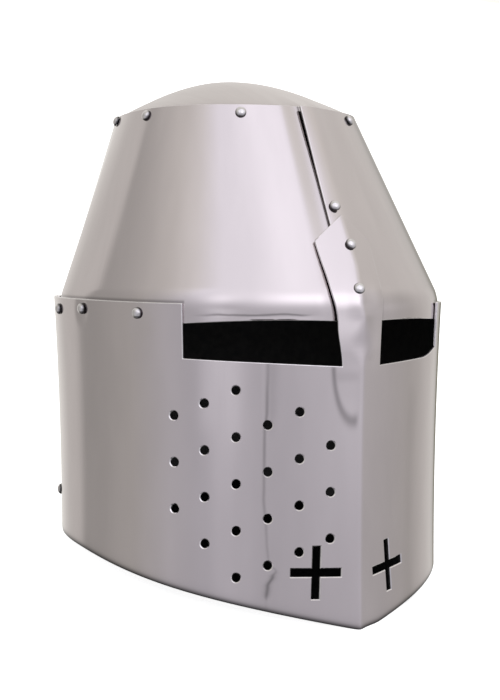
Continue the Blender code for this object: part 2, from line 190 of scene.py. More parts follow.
# Fineness of the meshes. Shares go from 0 to 1 over a sheet
OUTLINE_STEPS = 500
COLUMN = 0.0024
FINE_COLUMN = 0.0008
FINE_FROM = -0.0210
CROWN_COLUMN = 0.0035
LAP_COLUMN = 0.0012
UNDERLAP_COLUMN = 0.0015
BAR_COLUMNS = 24
ROW = 0.0026
BEND_ROW = 0.0009
BAR_ROW = 0.0024
BAR_TOP_ROW = 0.0013
BAR_TIP_ROWS = (0.34, 0.67, 1.0)
COLLAR_ROWS = [0.0017, 0.0022, 0.0028, 0.0034, 0.0040, 0.0047]
FACE_ROW_SHARE = 0.019
FACE_FINE_SHARE = 0.66
SIDE_ROWS = 12
NAPE_ROWS = 50
FLANGE_ROWS = (FLANGE, 0.010, 0.007, 0.004, 0.0022, 0.0012, 0.0005)
DOME_ROWS = [0.992, 0.98] + [0.96 - 0.03 * i for i in range(32)] + [0.0]
RIVET_SIDES = 32
MERGE = 0.00002

# How far from the fold the sheet is bent round, on the face plate, the bar and the cone
KEEL_SOFT = 0.0010
BAR_SOFT = 0.0090
BAR_SOFT_FROM = (SIGHT_LOWER_Z, SIGHT_LOWER_Z + 0.014)
BAR_SOFT_TO = (-0.015, 0.003)
CONE_SOFT = 0.0090

# How far the keel strays at the foot of the cone, between which heights, and how far round that is felt
SWAY = 0.0021
SWAY_FROM = (0.0, 0.010)
SWAY_TO = (0.017, 0.032)
SWAY_REACH = 0.013


def smooth(value, low, high):
    t = min(1.0, max(0.0, (value - low) / (high - low)))
    return t * t * (3.0 - 2.0 * t)


def spread(start, end, step=COLUMN):
    """Even steps from start to end, none longer than step."""
    count = max(1, math.ceil(abs(end - start) / step - 1e-6))
    return [start + (end - start) * i / count for i in range(count + 1)]


def walk_through(stops, step=COLUMN):
    walk = [stops[0]]
    for start, end in zip(stops, stops[1:]):
        walk += spread(start, end, step)[1:]
    return walk


def bezier(a, b, c, d):
    points = []
    for i in range(OUTLINE_STEPS + 1):
        t = i / OUTLINE_STEPS
        r = 1.0 - t
        points.append(a * r ** 3 + b * 3 * r * r * t + c * 3 * r * t * t + d * t ** 3)
    return points


class Outline:
    """A plan outline with a keel at its front, walked from there, minus on the wearer's right."""

    def __init__(self, front_y, slope, pull, half_width, widest_y, side_pull, rear_y):
        side = Vector((half_width, widest_y))
        keel_hand = Vector((pull * math.cos(slope), front_y + pull * math.sin(slope)))
        flank = bezier(Vector((0, front_y)), keel_hand, side - Vector((0, side_pull)), side)
        depth = rear_y - widest_y
        rear = Vector((0, rear_y))
        round_back = bezier(side, side + Vector((0, ARC * depth)), Vector((ARC * half_width, rear_y)), rear)
        self.points = flank + round_back[1:]
        self.along = [0.0]
        for before, after in zip(self.points, self.points[1:]):
            self.along.append(self.along[-1] + (after - before).length)
        self.length = self.along[-1]
        self.miter = 1.0 / math.cos(slope)

    def at(self, s):
        reach = min(abs(s), self.length)
        i = min(max(bisect.bisect_left(self.along, reach) - 1, 0), len(self.along) - 2)
        t = (reach - self.along[i]) / (self.along[i + 1] - self.along[i])
        point = self.points[i].lerp(self.points[i + 1], t)
        return Vector((math.copysign(point.x, s), point.y))

    def normal(self, s):
        if abs(s) < 1e-6:
            return Vector((0.0, -self.miter))
        if self.length - abs(s) < 1e-6:
            return Vector((0.0, 1.0))
        step = min(0.001, abs(s), self.length - abs(s))
        along = self.at(abs(s) + step) - self.at(abs(s) - step)
        across = Vector((along.y, -along.x)).normalized()
        return Vector((math.copysign(across.x, s) if abs(across.x) > 1e-9 else 0.0, across.y))


LOWER = Outline(FRONT_Y, KEEL_SLOPE, KEEL_PULL, HALF_WIDTH, WIDEST_Y, SIDE_PULL, REAR_Y)
RIM = Outline(RIM_FRONT_Y, RIM_KEEL_SLOPE, RIM_KEEL_PULL, RIM_HALF_WIDTH, RIM_WIDEST_Y, RIM_SIDE_PULL,
              RIM_REAR_Y)
ROUND = 2.0 * LOWER.length


def inset(s):
    """How far the skull plate lies inside the face plate: one layer, and two from the seam on."""
    return LAYER * (1.0 + smooth(abs(s), *SEAM_STEP))


def wall(s, z, out=0.0):
    """A point of the lower plates' outer side, moved outward by out."""
    plan = LOWER.at(s)
    normal = LOWER.normal(s)
    scale = 1.0 + TAPER * z + TAPER_GROWTH * z * z
    middle = 0.5 * (FRONT_Y + REAR_Y)
    y = middle + scale * (plan.y - middle) + LOWER_LEAN * z
    return Vector((scale * plan.x + normal.x * out, y + normal.y * out, z))


def rim(s):
    plan = RIM.at(s / LOWER.length * RIM.length)
    middle = 0.5 * (RIM_FRONT_Y + RIM_REAR_Y)
    turned = Matrix.Rotation(RIM_TURN, 2) @ Vector((plan.x, plan.y - middle))
    return Vector((turned.x, turned.y + middle, RIM_Z + RIM_LEAN * turned.y))


def skull_base(s, h):
    if h <= COLLAR_TOP:
        return wall(s, h, -inset(s))
    corner = wall(s, BEND_Z, -inset(s))
    top = rim(s)
    if h >= CONE_START:
        return corner.lerp(top, (h - BEND_Z) / (RIM_Z - BEND_Z))
    t = (h - COLLAR_TOP) / (CONE_START - COLLAR_TOP)
    low = wall(s, COLLAR_TOP, -inset(s))
    high = corner.lerp(top, (CONE_START - BEND_Z) / (RIM_Z - BEND_Z))
    return low.lerp(corner, t).lerp(corner.lerp(high, t), t)


def skull_normal(s, h):
    step = 0.0008
    if LOWER.length - abs(s) < step:
        along = skull_base(step - LOWER.length, h) - skull_base(LOWER.length - step, h)
    elif abs(s) < 1e-6:
        along = skull_base(step, h) - skull_base(-step, h)
    elif s > 0:
        along = skull_base(s + step, h) - skull_base(max(s - step, 1e-6), h)
    else:
        along = skull_base(min(s + step, -1e-6), h) - skull_base(s - step, h)
    up = skull_base(s, h + step) - skull_base(s, h - step)
    return along.cross(up).normalized()


def skull(s, h, out=0.0):
    normal = skull_normal(s, h)
    level = Vector((normal.x, normal.y, 0.0))
    miter = LOWER.miter if abs(s) < 1e-6 else 1.0
    return skull_base(s, h) + level.normalized() * (out * miter / level.length)


def fold_round(surface, s, height, out, soft):
    """The point s of a surface whose keel is bent round over soft metres each way."""
    if abs(s) >= soft:
        return surface(s, height, out)
    t = 0.5 * (s + soft) / soft
    before = surface(-soft, height, out)
    corner = surface(0.0, height, out)
    after = surface(soft, height, out)
    return before.lerp(corner, t).lerp(corner.lerp(after, t), t)


def swayed(point, s, h):
    """The keel strays to the wearer's right over the cone's foot, as a hand-beaten one does."""
    share = smooth(h, *SWAY_FROM) * (1.0 - smooth(h, *SWAY_TO)) * (1.0 - smooth(abs(s), 0.0, SWAY_REACH))
    return point - Vector((SWAY * share, 0.0, 0.0))


def chin_edge(s):
    """Height of the lower edge: lower on the wearer's left, and at the back it drops to the resting plane."""
    reach = abs(s)
    rise, growth, slowing = CHIN_RISE
    edge = CHIN_Z + rise * reach + growth * reach ** 2 + slowing * reach ** 3
    edge -= LEFT_SAG * smooth(s, *LEFT_SAG_S)
    drop = smooth(reach, *NAPE_DROP_S)
    return edge + drop * (rest_height(wall(reach, edge).y) - TRIM - edge)


def rest_height(y):
    return CHIN_Z + CHIN_FLAT + REST_SLOPE * (y - wall(0.0, CHIN_Z).y)


def top_edge(s):
    return TOP_EDGE_Z + TOP_EDGE_RISE * LOWER.at(s).y


def sight_edge(s):
    reach = min(abs(s), SIGHT_RIGHT)
    lift = SIGHT_LEFT_LIFT * smooth(s, *SIGHT_LEFT_LIFT_S)
    return SIGHT_LOWER_Z + SIGHT_LOWER_RISE * reach + (lift if s < SIGHT_LEFT + SIGHT_MARGIN else 0.0)


def collar_edge(s):
    return COLLAR_BOW * math.sin(math.pi * min(1.0, abs(s) / SIGHT_RIGHT))


def bar_half(widths, h):
    sight = widths["sight"] + (widths["brow"] - widths["sight"]) * smooth(h, SIGHT_LOWER_Z, 0.0)
    flare = sight + (widths["flare"] - widths["brow"]) * smooth(h, 0.0, BAR_FLARE_H)
    return flare + (widths["shoulder"] - widths["flare"]) * smooth(h, BAR_FLARE_H, BAR_SHOULDER_H)


def bar_point(across, h):
    """A point of the nasal bar's outer side, with across from -1 at its right edge to 1 at its left."""
    half = bar_half(BAR_RIGHT if across < 0 else BAR_LEFT, h)
    spread_out = 1.0 + BAR_SPREAD * max(0.0, h) / RIM_Z
    rounded = smooth(h, *BAR_SOFT_FROM) * (1.0 - smooth(h, *BAR_SOFT_TO))
    soft = KEEL_SOFT + BAR_SOFT * rounded
    s = across * half * spread_out
    return swayed(fold_round(skull, s, h, LAYER, min(soft, 0.9 * half)), s, h)


# Wear and handwork on the face plate: a tongue-shaped dent under the nasal bar, two dimples and a long crease
TONGUE_S = -0.0050
TONGUE_Z = -0.0200
TONGUE_HALF_WIDTH = 0.0119
TONGUE_REACH = 0.0325
TONGUE_DEPTH = 0.00014
TONGUE_EDGE = (0.78, 1.04)
TONGUE_TOP_Z = (-0.032, -0.0245)
DIMPLES = [
    {"s": -0.1717, "z": 0.0070, "flat": 0.0030, "radius": 0.0085, "depth": 0.00028},
    {"s": -0.1235, "z": -0.0010, "flat": 0.0, "radius": 0.0110, "depth": 0.00030},
]
CREASE_S = -0.0525
CREASE_WIDTH = 0.0018
CREASE_DEPTH = 0.00025
CREASE_LOW_SHARE = 0.25
CREASE_FADE = (-0.066, -0.045)
CREASE_FINE = 0.0040

# The line of painted shade in the crease: heights, downward, with how far it strays toward the keel and how
# dark it is
CREASE_DRIFT = [
    (-0.0230, 0.0011),
    (-0.0450, 0.0006),
    (-0.0560, -0.0007),
    (-0.0900, -0.0010),
    (-0.1140, 0.0006),
    (-0.1250, 0.0014),
    (-0.1296, 0.0056),
    (-0.1323, 0.0038),
    (-0.1375, 0.0011),
    (-0.1440, 0.0004),
]
CREASE_DARK = [
    (-0.0230, 0.22),
    (-0.0450, 0.33),
    (-0.0600, 0.34),
    (-0.0850, 0.27),
    (-0.1180, 0.17),
    (-0.1290, 0.16),
    (-0.1345, 0.36),
    (-0.1420, 0.34),
    (-0.1460, 0.05),
]
CREASE_WAVER = 0.35
HOOK_FROM = (-0.1285, -0.1330)
HOOK_TO = (-0.1455, -0.1410)

# The nasal bar's bow, in the material alone
BAR_BOW = 0.0019
BAR_BOW_Z = (-0.016, 0.014)
BAR_BOW_S = (0.030, 0.018)

# Painted lines of shade and soft painted shades: the half width of each in metres, and how dark it is
CREASE_LINE = (0.0009, 1.0)
CREASE_SHADE = (0.0032, 0.11)
HOOK_LINE = (0.0021, 0.24)
HEM_LINE = (0.0020, 0.84)
HEM_SHADE = (0.0046, 0.10)
FILED_HEM_LINE = (0.0020, 0.94)
LAP_LINE = (0.0012, 0.55)
LAP_SHADE = (0.0060, 0.10)
COLLAR_CREASE_LINE = (0.00055, 0.48)
BESIDE_BAR_LINE = (0.0010, 0.12)
OVER_PLATE_LINE = (0.0009, 0.42)

# Where those lines lie and between which places they fade. The collar's crease is on the wearer's right
CREASE_SHADE_ASIDE = 0.0022
LAP_MARK_H = (0.030, 0.050)
COLLAR_CREASE_H = 0.0043
COLLAR_CREASE_FROM = (0.094, 0.074)
COLLAR_CREASE_TO = (0.026, 0.036)
BESIDE_BAR = 0.0028
BESIDE_BAR_H = (0.016, 0.007)

# The painted shade round the tongue-shaped dent: its line, in shares of the dent's size, and where that fades
TONGUE_MARK_AT = 0.97
TONGUE_MARK_LINE = (0.11, 0.44)
TONGUE_MARK_S = (-0.0010, -0.0045)
TONGUE_MARK_Z = (-0.0215, -0.0245)

# Upright bands of painted shade over the plates' reflections, or of painted highlight where dark is minus
FACE_PAINTED_SHEENS = [
    {"s": -0.0845, "width": 0.0048, "dark": -0.085, "from": (-0.062, -0.046), "to": (0.0, 0.001)},
    {"s": -0.0680, "width": 0.0052, "dark": -0.080, "from": (-0.068, -0.050), "to": (0.0, 0.001)},
    {"s": 0.0100, "width": 0.0060, "dark": -0.055, "from": (-0.030, -0.018), "to": (0.010, 0.018)},
    {"s": 0.0090, "width": 0.0080, "dark": -0.075, "from": (0.001, 0.010), "to": (0.016, 0.022)},
    {"s": -0.0040, "width": 0.0050, "dark": 0.060, "from": (-0.024, -0.018), "to": (-0.010, -0.003)},
    {"s": -0.0055, "width": 0.0062, "dark": -0.055, "from": (-0.140, -0.080), "to": (-0.046, -0.036)},
    {"s": 0.0005, "width": 0.0055, "dark": -0.09, "from": (0.002, 0.005), "to": (0.0075, 0.0105)},
    {"s": 0.0040, "width": 0.0040, "dark": 0.075, "from": (-0.022, -0.018), "to": (0.0, 0.006)},
    {"s": 0.0475, "width": 0.0050, "dark": 0.045, "from": (-0.165, -0.145), "to": (-0.042, -0.030)},
]
SKULL_PAINTED_SHEENS = [
    {"s": 0.0210, "width": 0.0120, "dark": -0.11, "from": (0.002, 0.009), "to": (0.015, 0.020)},
    {"s": 0.0560, "width": 0.0200, "dark": -0.05, "from": (0.002, 0.009), "to": (0.015, 0.020)},
]


def wear(s, z):
    """How far the face plate's sheet is pushed out of its true shape by wear."""
    tongue = math.hypot((s - TONGUE_S) / TONGUE_HALF_WIDTH, (z - TONGUE_Z) / TONGUE_REACH)
    push = -TONGUE_DEPTH * (1.0 - smooth(tongue, *TONGUE_EDGE)) * (1.0 - smooth(s, TONGUE_S, 0.0))
    push *= 1.0 - smooth(z, *TONGUE_TOP_Z)
    for dimple in DIMPLES:
        far = math.hypot(s - dimple["s"], z - dimple["z"])
        push -= dimple["depth"] * (1.0 - smooth(far, dimple["flat"], dimple["radius"]))
    crease = math.exp(-((s - CREASE_S) / CREASE_WIDTH) ** 2)
    share = CREASE_LOW_SHARE + (1.0 - CREASE_LOW_SHARE) * smooth(z, *CREASE_FADE)
    return push - CREASE_DEPTH * crease * share


def face_point(s, z):
    return fold_round(wall, s, z, wear(s, z), KEEL_SOFT)


def add_grid(mesh, rows, uvs, edges=None):
    """Faces between rows of points, bottom first and left to right as seen from outside. The first UV map
    keeps the way along the sheet and the height. The second keeps the height over an edge along which shade
    is
    painted: the face plate's lower edge, or on the skull plate the top edge of the plates over it."""
    layer = mesh.loops.layers.uv.get("UVMap") or mesh.loops.layers.uv.new("UVMap")
    over = mesh.loops.layers.uv.get("over_edge") or mesh.loops.layers.uv.new("over_edge")
    lines = [[mesh.verts.new(point) for point in row] for row in rows]
    for j in range(len(lines) - 1):
        for i in range(len(lines[j]) - 1):
            corners = ((j, i), (j, i + 1), (j + 1, i + 1), (j + 1, i))
            face = mesh.faces.new([lines[a][b] for a, b in corners])
            face.smooth = True
            for loop, (a, b) in zip(face.loops, corners):
                loop[layer].uv = uvs[a][b]
                loop[over].uv = (uvs[a][b][0], edges[a][b] if edges else 1.0)


objects = bpy.data.collections.new("dressed_helm")
tools = bpy.data.collections.new("cutters")
for group in (objects, tools):
    bpy.context.scene.collection.children.link(group)

lean = math.atan(REST_SLOPE)
chin = Vector((0.0, wall(0.0, CHIN_Z).y, CHIN_Z + CHIN_FLAT))
leaned = Matrix.Rotation(-lean, 3, "X") @ chin
HELM = Matrix.Translation((0.0, REST_Y - leaned.y, -leaned.z)) @ Matrix.Rotation(-lean, 4, "X")


def new_object(name, mesh, group=objects):
    thing = bpy.data.objects.new(name, mesh)
    group.objects.link(thing)
    return thing


def mesh_from(sheet, name):
    """The sheet's mesh, moved from the helm's own upright frame to the frame of the row."""
    bmesh.ops.remove_doubles(sheet, verts=sheet.verts, dist=MERGE)
    bmesh.ops.transform(sheet, matrix=HELM, verts=sheet.verts)
    mesh = bpy.data.meshes.new(name)
    sheet.to_mesh(mesh)
    sheet.free()
    return mesh


def frame_on(point, normal):
    """A place on a surface: its z axis points outward along the normal."""
    z = normal.normalized()
    x = Vector((0.0, 0.0, 1.0)).cross(z).normalized()
    y = z.cross(x)
    return Matrix.Translation(point) @ Matrix((x, y, z)).transposed().to_4x4()


def wall_frame(s, z, out=0.0):
    step = 0.002
    along = wall(s + step, z) - wall(s - step, z)
    up = wall(s, z + step) - wall(s, z - step)
    normal = along.cross(up).normalized()
    if abs(s) > LOWER.length - step:
        normal = Vector((0.0, 1.0, 0.0))
    return frame_on(wall(s, z) + normal * out, normal)


def skull_frame(s, h, out=0.0):
    return frame_on(skull(s, h, out), skull_normal(s, h))


# Places in a plate's list of materials
OUTER_LOOK = 0
INNER_LOOK = 1
CUT_LOOK = 2
RIM_LOOK = 3
FILED_LOOK = 4


def add_prism(mesh, outline, height, placed):
    low = [mesh.verts.new(placed @ Vector((x, y, -height))) for x, y in outline]
    high = [mesh.verts.new(placed @ Vector((x, y, height))) for x, y in outline]
    mesh.faces.new(list(reversed(low)))
    mesh.faces.new(high)
    for i in range(len(outline)):
        j = (i + 1) % len(outline)
        mesh.faces.new((low[i], low[j], high[j], high[i]))


def ring(radius, sides):
    return [(radius * math.cos(2 * math.pi * i / sides), radius * math.sin(2 * math.pi * i / sides))
            for i in range(sides)]


def cross_outline(reach, arm):
    """A cross with points along each of its edges, so that its cutter can follow the plate's curve."""
    half = 0.5 * arm
    quarter = [(reach, -half), (reach, half), (half, half)]
    outline = []
    for turn in range(4):
        for x, y in quarter:
            for _ in range(turn):
                x, y = -y, x
            outline.append(Vector((x, y)))
    ends = outline[1:] + outline[:1]
    parts = [i / CROSS_PARTS for i in range(CROSS_PARTS)]
    return [start.lerp(end, share) for start, end in zip(outline, ends) for share in parts]


def add_piercing(mesh, outline, mouth_outline, s, z, turn=0.0):
    """A cutter that follows the face plate's curve and widens to a filed mouth at its outer side."""
    rings = []
    for out, shape in ((-PIERCING_CUT, outline), (-MOUTH, outline), (MOUTH, mouth_outline)):
        line = []
        for x, y in shape:
            at = s + x * math.cos(turn) - y * math.sin(turn)
            height = z + x * math.sin(turn) + y * math.cos(turn)
            outward = (wall(at, height, 0.001) - wall(at, height)).normalized()
            line.append(mesh.verts.new(face_point(at, height) + outward * out))
        rings.append(line)
    mesh.faces.new(list(reversed(rings[0])))
    mesh.faces.new(rings[2])
    for low, high, look in ((rings[0], rings[1], CUT_LOOK), (rings[1], rings[2], FILED_LOOK)):
        for i in range(len(low)):
            j = (i + 1) % len(low)
            mesh.faces.new((low[i], low[j], high[j], high[i])).material_index = look


def cutter_object(name, mesh):
    """A cutter gives the walls of its holes their look. Its second UV map keeps them clear of painted shade.
    """
    cutter = new_object(name, mesh_from(mesh, name), tools)
    for material in plate_look:
        cutter.data.materials.append(material)
    for face in cutter.data.polygons:
        if face.material_index == OUTER_LOOK:
            face.material_index = CUT_LOOK
    for corner in cutter.data.uv_layers.new(name="over_edge").data:
        corner.uv = (0.0, 1.0)
    cutter.hide_render = True
    return cutter


def skull_sheet():
    """The skull plate's outer side, from the end that lies on top at the front round to the one below it. The
    lowest row, None in the list of heights, follows the sights' upper edges."""
    near, far = SEAM_STEP
    dip_end, dip_start = DIP
    stops = [0.0, near, far, LOWER.length, ROUND - far, ROUND - near]
    stops += [ROUND - dip_start, ROUND - dip_end, ROUND]
    walk = spread(-LAP, 0.0, LAP_COLUMN)[:-1] + walk_through(stops)
    walk += spread(ROUND, ROUND + UNDERLAP, UNDERLAP_COLUMN)[1:]
    heights = [None] + COLLAR_ROWS
    heights += spread(COLLAR_TOP, CONE_START, BEND_ROW) + spread(CONE_START, RIM_Z, ROW)[1:]
    rows = []
    uvs = []
    edges = []
    for level in heights:
        row = []
        uv = []
        for at in walk:
            s = at if at <= LOWER.length else at - ROUND
            h = collar_edge(s) if level is None else level
            if at < 0.0:
                s = at / LAP * (LAP + (LAP_AT_RIM - LAP) * max(0.0, h) / RIM_Z)
            lift = LAP_LIFT * smooth(h, LAP_RIVET_H, RIM_Z) * (1.0 - smooth(at, 0.0, LAP_LIFT_REACH))
            dip = LAYER * smooth(at, ROUND - dip_start, ROUND - dip_end)
            reach = ROUND - at
            lipped = smooth(reach, *LIP_S[:2]) * (1.0 - smooth(reach, *LIP_S[2:]))
            lip = LIP_OUT * lipped * max(0.0, 1.0 - h / LIP_H)
            row.append(swayed(fold_round(skull, s, h, lift - dip + lip, CONE_SOFT), s, h))
            uv.append((at, h))
        rows.append(row)
        uvs.append(uv)
        edges.append([h - top_edge(at if at <= LOWER.length else at - ROUND) for at, h in uv])
    sheet = bmesh.new()
    add_grid(sheet, rows, uvs, edges)
    return sheet


def evened(ring_points, reach):
    """Each point of a closed ring drawn to the mean of its neighbours; the first point is also the last."""
    loop = ring_points[:-1]
    count = len(loop)
    calm = []
    for i in range(count):
        near = [loop[(i + k) % count] for k in range(-reach, reach + 1)]
        calm.append(sum(near, Vector((0.0, 0.0, 0.0))) / len(near))
    return calm + calm[:1]


def crown_sheet():
    stops = [-LOWER.length, *LAP_STEP_RIGHT, 0.0, *LAP_STEP_LEFT, LOWER.length]
    around = walk_through(stops, CROWN_COLUMN)
    layers = [1.0 + smooth(s, *LAP_STEP_RIGHT) * (1.0 - smooth(s, *LAP_STEP_LEFT)) for s in around]
    inside = [-LAYER * count for count in layers]
    rows = []
    for below in FLANGE_ROWS:
        rows.append([skull(s, RIM_Z - below, out) for s, out in zip(around, inside)])
    edge = [skull(s, RIM_Z, out) for s, out in zip(around, inside)]
    calm = evened(evened(edge, DOME_EVEN_REACH), DOME_EVEN_REACH)
    centre = Vector((0.0, 0.5 * (RIM_FRONT_Y + RIM_REAR_Y), 0.0))
    for share in DOME_ROWS:
        row = []
        for near, far in zip(calm, edge):
            point = near.lerp(far, smooth(share, DOME_EVEN_FROM, 1.0))
            place = centre.lerp(Vector((point.x, point.y, 0.0)), share)
            place.z = RIM_Z + (point.z - RIM_Z) * share + DOME_RISE * (1.0 - share ** DOME_POWER)
            row.append(place)
        rows.append(row)
    uvs = [[(point.x, point.y) for point in row] for row in rows]
    sheet = bmesh.new()
    add_grid(sheet, rows, uvs)
    bmesh.ops.dissolve_degenerate(sheet, dist=0.00005, edges=sheet.edges)
    return sheet


def face_sheet():
    end = SEAM_S + SEAM_LAP
    bar_columns = [-1.0 + 2 * i / BAR_COLUMNS for i in range(BAR_COLUMNS + 1)]
    bar_feet = [across * (BAR_RIGHT if across < 0 else BAR_LEFT)["sight"] for across in bar_columns]
    right_side = walk_through([-end, -SIGHT_RIGHT])
    left_side = walk_through([SIGHT_LEFT, end])
    crease = [CREASE_S - CREASE_FINE, CREASE_S + CREASE_FINE]
    columns = walk_through([-end, -SIGHT_RIGHT, crease[0]])
    columns += walk_through(crease, FINE_COLUMN)[1:]
    columns += walk_through([crease[1], FINE_FROM])[1:]
    columns += walk_through([FINE_FROM, bar_feet[0]], FINE_COLUMN)[1:]
    columns += bar_feet[1:-1] + walk_through([bar_feet[-1], SIGHT_LEFT, end])
    sheet = bmesh.new()
    rows = []
    uvs = []
    hems = []
    shares = spread(0.0, FACE_FINE_SHARE, FACE_ROW_SHARE)
    for share in shares + spread(FACE_FINE_SHARE, 1.0, 0.5 * FACE_ROW_SHARE)[1:]:
        heights = [chin_edge(s) + share * (sight_edge(s) - chin_edge(s)) for s in columns]
        rows.append([face_point(s, z) for s, z in zip(columns, heights)])
        uvs.append(list(zip(columns, heights)))
        hems.append([z - chin_edge(s) for s, z in zip(columns, heights)])
    add_grid(sheet, rows, uvs, hems)
    for side in (right_side, left_side):
        rows = []
        uvs = []
        for i in range(SIDE_ROWS + 1):
            share = i / SIDE_ROWS
            heights = [sight_edge(s) + share * (top_edge(s) - sight_edge(s)) for s in side]
            rows.append([face_point(s, z) for s, z in zip(side, heights)])
            uvs.append(list(zip(side, heights)))
        add_grid(sheet, rows, uvs)
    bar = [[face_point(s, sight_edge(s)) for s in bar_feet]]
    uvs = [[(s, sight_edge(s)) for s in bar_feet]]
    for h in spread(SIGHT_LOWER_Z, 0.0, BAR_ROW)[1:-1] + spread(0.0, BAR_SHOULDER_H, BAR_TOP_ROW):
        bar.append([bar_point(across, h) for across in bar_columns])
        uvs.append([(s, h) for s in bar_feet])
    for share in BAR_TIP_ROWS:
        rise = share * (BAR_TIP_H - BAR_SHOULDER_H)
        tops = [BAR_SHOULDER_H + rise * (1.0 - abs(across)) for across in bar_columns]
        bar.append([bar_point(across, h) for across, h in zip(bar_columns, tops)])
        uvs.append(list(zip(bar_feet, tops)))
    add_grid(sheet, bar, uvs)
    return sheet


def nape_sheet():
    start = SEAM_S - SEAM_LAP
    walk = walk_through([start, LOWER.length, ROUND - start])
    rows = []
    uvs = []
    for i in range(NAPE_ROWS + 1):
        row = []
        uv = []
        for at in walk:
            s = at if at <= LOWER.length else at - ROUND
            low = chin_edge(s)
            z = low + i / NAPE_ROWS * (top_edge(s) - low)
            row.append(wall(s, z, -LAYER))
            uv.append((at, z))
        rows.append(row)
        uvs.append(uv)
    sheet = bmesh.new()
    add_grid(sheet, rows, uvs)
    return sheet


def add_plate(name, sheet, materials, cutters):
    """A plate is a sheet drawn on its outer side, thickened inward, its edges filed round, and cut."""
    plate = new_object("dressed_" + name, mesh_from(sheet, name))
    for material in materials:
        plate.data.materials.append(material)
    thicken = plate.modifiers.new("thickness", "SOLIDIFY")
    thicken.thickness = PLATE
    thicken.offset = -1.0
    thicken.use_even_offset = True
    thicken.material_offset = INNER_LOOK
    thicken.material_offset_rim = RIM_LOOK
    filed = plate.modifiers.new("filed edges", "BEVEL")
    filed.width = EDGE
    filed.segments = 3
    filed.material = FILED_LOOK
    filed.limit_method = "ANGLE"
    filed.angle_limit = FILED_ANGLE
    filed.harden_normals = True
    filed.use_clamp_overlap = False
    for cutter in cutters:
        cut = plate.modifiers.new(cutter.name, "BOOLEAN")
        cut.operation = "DIFFERENCE"
        cut.solver = "EXACT"
        cut.object = cutter
    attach(plate, "root")
    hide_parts(name)


def rivet_mesh(grip):
    """Half the outline of a rivet, to be turned round its axis: dome, shank and the peened end inside."""
    profile = []
    for i in range(HEAD_POINTS):
        angle = math.radians(90 - HEAD_POINT_DEGREES * i)
        profile.append((HEAD_RADIUS * math.cos(angle), HEAD_RISE * math.sin(angle)))
    profile[0] = (0.0, HEAD_RISE)
    profile += [(HEAD_RADIUS, 0.0), (SHANK_RADIUS, 0.0), (SHANK_RADIUS, -grip), (PEEN_RADIUS, -grip)]
    profile += [(0.7 * PEEN_RADIUS, -grip - PEEN_RISE), (0.0, -grip - PEEN_RISE)]
    mesh = bpy.data.meshes.new("rivet")
    edges = [(i, i + 1) for i in range(len(profile) - 1)]
    mesh.from_pydata([(x, 0.0, z) for x, z in profile], edges, [])
    return mesh


def add_rivet(name, placed, grip, material):
    rivet = new_object("dressed_" + name, rivet_mesh(grip))
    rivet.data.materials.append(material)
    rivet.matrix_world = HELM @ placed @ Matrix.Translation((0.0, 0.0, SEAT))
    turn = rivet.modifiers.new("turned", "SCREW")
    turn.steps = RIVET_SIDES
    turn.render_steps = RIVET_SIDES
    turn.use_merge_vertices = True
    turn.merge_threshold = MERGE
    turn.use_smooth_shade = True
    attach(rivet, "root")
    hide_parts(name)


def rivet_list():
    """Each rivet's name, its place, how many layers it holds, and how far its head stands off."""
    rivets = []
    for i, (turn, h) in enumerate(RIM_RIVETS):
        rivets.append((f"rim_rivet_{i + 1}", skull_frame(turn * LOWER.length, h), 2, 0.0))
    rivets.append(("lap_rivet", skull_frame(LAP_RIVET_S, LAP_RIVET_H), 2, KEEL_STANDOFF))
    for i, (s, h) in enumerate(NASAL_RIVETS):
        rivets.append((f"nasal_rivet_{i + 1}", skull_frame(s, h, LAYER), 3, KEEL_STANDOFF))
    for side, name in ((-1, "right"), (1, "left")):
        for i, (s, z) in enumerate(BROW_RIVETS):
            rivets.append((f"brow_rivet_{name}_{i + 1}", wall_frame(side * s, z), 2, 0.0))
        rivets.append((f"seam_rivet_{name}", wall_frame(side * SEAM_S, SEAM_RIVET_Z), 2, 0.0))
        for i, s in enumerate(NAPE_RIVETS):
            placed = wall_frame(side * s, NAPE_RIVET_Z, out=-LAYER)
            rivets.append((f"nape_rivet_{name}_{i + 1}", placed, 2, 0.0))
    return rivets


def fill(tree, made, inputs):
    """Gives a node's inputs their numbers, or what they are linked to."""
    for key, value in inputs.items():
        if isinstance(value, bpy.types.NodeSocket):
            tree.links.new(value, made.inputs[key])
        else:
            made.inputs[key].default_value = value


def node(tree, kind, inputs=None, **values):
    made = tree.nodes.new(kind)
    for key, value in values.items():
        setattr(made, key, value)
    fill(tree, made, inputs or {})
    return made


def maths(tree, operation, *values):
    return node(tree, "ShaderNodeMath", dict(enumerate(values)), operation=operation).outputs["Value"]


def scaled(tree, vector, share):
    made = node(tree, "ShaderNodeVectorMath", {0: vector, "Scale": share}, operation="SCALE")
    return made.outputs["Vector"]


def split(tree, vector):
    made = node(tree, "ShaderNodeSeparateXYZ", {"Vector": vector})
    return made.outputs["X"], made.outputs["Y"], made.outputs["Z"]


def blend(tree, share, first, second):
    """The first colour where the share is 0, the second where it is 1."""
    made = node(tree, "ShaderNodeMix", {"Factor": share, "A": first, "B": second}, data_type="RGBA")
    return made.outputs["Result"]


def fade(tree, value, start, end, low=0.0, high=1.0):
    """A smooth change from low to high while the value goes from start to end."""
    inputs = {"Value": value, "From Min": start, "From Max": end, "To Min": low, "To Max": high}
    return node(tree, "ShaderNodeMapRange", inputs, interpolation_type="SMOOTHSTEP").outputs["Result"]


def times(tree, value, *factors):
    for factor in factors:
        value = maths(tree, "MULTIPLY", value, factor)
    return value


def squares(tree, one, other):
    """The sum of two numbers' squares."""
    return maths(tree, "ADD", times(tree, one, one), times(tree, other, other))


def bell(tree, square):
    """1 where the square of a distance is 0, and nearly nothing from 4 on."""
    return maths(tree, "EXPONENT", times(tree, square, -1.0))


